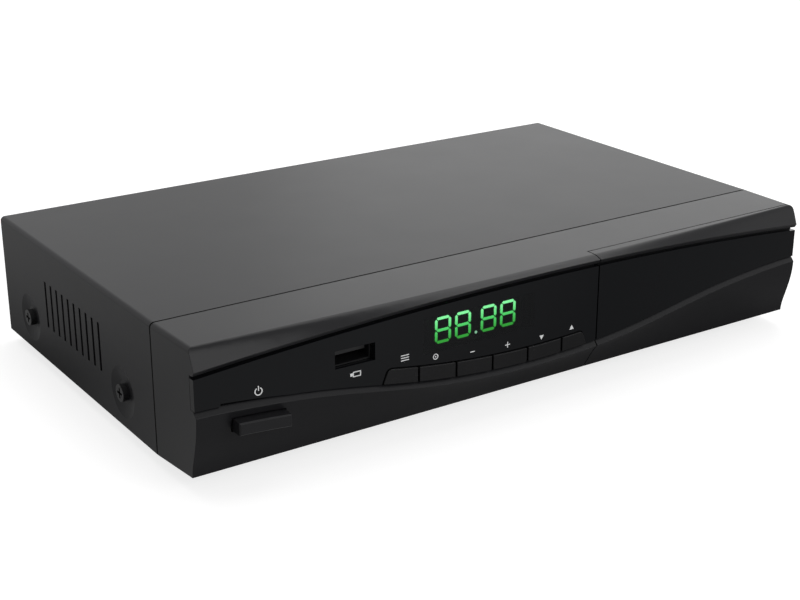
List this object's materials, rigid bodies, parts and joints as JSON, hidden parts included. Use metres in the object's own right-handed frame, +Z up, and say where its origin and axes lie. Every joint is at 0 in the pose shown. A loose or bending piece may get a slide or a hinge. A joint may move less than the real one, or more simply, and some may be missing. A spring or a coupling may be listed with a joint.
{
  "type": "satellite tv receiver",
  "caption": "Low set-top receiver: folded steel case, bowed front with arched and waved bands, smoked window with lit digits, push keys, power button and a hinged card flap.",
  "frame": {"origin": "on the plane of the feet, below the middle of the box round the whole receiver", "axes": "+X to the right seen from the front, +Y to the back, +Z up"},
  "size_m": [0.2522, 0.1681, 0.0475],
  "materials": {
    "cover_paint": "fine textured matt",
    "tray_steel": "zinc plated",
    "foot_rubber": "matt",
    "screw_steel": "black zinc",
    "bezel_plastic": "fine textured",
    "smoked_panel": "polished, smoked",
    "key_plastic": "polished",
    "board_green": "solder resist",
    "board_tan": "paper laminate",
    "socket_black": "moulded",
    "display_black": "moulded",
    "segment_green": "lit diffuser",
    "eye_dark": "infrared filter",
    "light_pipe": "clear",
    "socket_nickel": "nickel plated",
    "tongue_white": "moulded",
    "chip_black": "moulded",
    "sink_aluminium": "extruded",
    "can_sleeve": "shrunk sleeve",
    "tinned_steel": "tin plated",
    "contact_brass": "turned",
    "winding_tape": "polyester tape",
    "fuse_ceramic": "plain",
    "ribbon_grey": "flexible"
  },
  "bodies": {
    "receiver": {"top_cover": "cover_paint", "base_tray": "tray_steel", "rear_panel": "tray_steel", "rubber_feet": "foot_rubber", "cover_screws": "screw_steel", "chassis_screws": "screw_steel", "front_bezel": "bezel_plastic", "display_window": "smoked_panel", "front_board": "board_green", "key_switches": "socket_black", "power_switch": "socket_black", "display_module": "display_black", "display_digits": "segment_green", "infrared_receiver": "eye_dark", "standby_light": "light_pipe", "usb_socket": "socket_nickel", "usb_tongue": "socket_black", "usb_board": "board_green", "main_board": "board_green", "power_board": "board_tan", "card_board": "board_green", "board_standoffs": "socket_nickel", "board_screws": "screw_steel", "card_posts": "tongue_white", "processor": "chip_black", "memory_chips": "chip_black", "heat_sink": "sink_aluminium", "supply_heat_sink": "sink_aluminium", "board_capacitors": "can_sleeve", "output_capacitors": "can_sleeve", "bulk_capacitor": "can_sleeve", "tuner_can": "tinned_steel", "aerial_in_socket": "socket_nickel", "aerial_out_socket": "socket_nickel", "hdmi_socket": "tinned_steel", "network_socket": "tinned_steel", "phono_block": "socket_black", "phono_sleeves": "socket_nickel", "card_reader": "socket_black", "mains_inlet": "socket_black", "inlet_pins": "contact_brass", "transformer": "winding_tape", "mains_fuse": "fuse_ceramic", "board_headers": "tongue_white", "front_ribbon": "ribbon_grey", "supply_cable": "ribbon_grey"},
    "door": {"door_shell": "bezel_plastic", "door_panel": "smoked_panel"},
    "power_push": {"power_button": "bezel_plastic"},
    "menu_push": {"menu_key": "key_plastic"},
    "ok_push": {"ok_key": "key_plastic"},
    "volume_down_push": {"volume_down_key": "key_plastic"},
    "volume_up_push": {"volume_up_key": "key_plastic"},
    "channel_down_push": {"channel_down_key": "key_plastic"},
    "channel_up_push": {"channel_up_key": "key_plastic"}
  },
  "joints": [
    {"name": "door_hinge", "type": "hinge", "parent": "receiver", "child": "door", "pos_m": [0.0754, -0.071, 0.01], "axis": [1, 0, 0], "range_deg": [0, 75]},
    {"name": "power_press", "type": "slide", "parent": "receiver", "child": "power_push", "axis": [0, 1, 0], "range_m": [0, 0.0015], "stiffness_N_per_m": 900, "springref_m": -0.001},
    {"name": "menu_press", "type": "slide", "parent": "receiver", "child": "menu_push", "axis": [0, 1, 0], "range_m": [0, 0.0006], "stiffness_N_per_m": 1200, "springref_m": -0.0005},
    {"name": "ok_press", "type": "slide", "parent": "receiver", "child": "ok_push", "axis": [0, 1, 0], "range_m": [0, 0.0006], "stiffness_N_per_m": 1200, "springref_m": -0.0005},
    {"name": "volume_down_press", "type": "slide", "parent": "receiver", "child": "volume_down_push", "axis": [0, 1, 0], "range_m": [0, 0.0006], "stiffness_N_per_m": 1200, "springref_m": -0.0005},
    {"name": "volume_up_press", "type": "slide", "parent": "receiver", "child": "volume_up_push", "axis": [0, 1, 0], "range_m": [0, 0.0006], "stiffness_N_per_m": 1200, "springref_m": -0.0005},
    {"name": "channel_down_press", "type": "slide", "parent": "receiver", "child": "channel_down_push", "axis": [0, 1, 0], "range_m": [0, 0.0006], "stiffness_N_per_m": 1200, "springref_m": -0.0005},
    {"name": "channel_up_press", "type": "slide", "parent": "receiver", "child": "channel_up_push", "axis": [0, 1, 0], "range_m": [0, 0.0006], "stiffness_N_per_m": 1200, "springref_m": -0.0005}
  ]
}
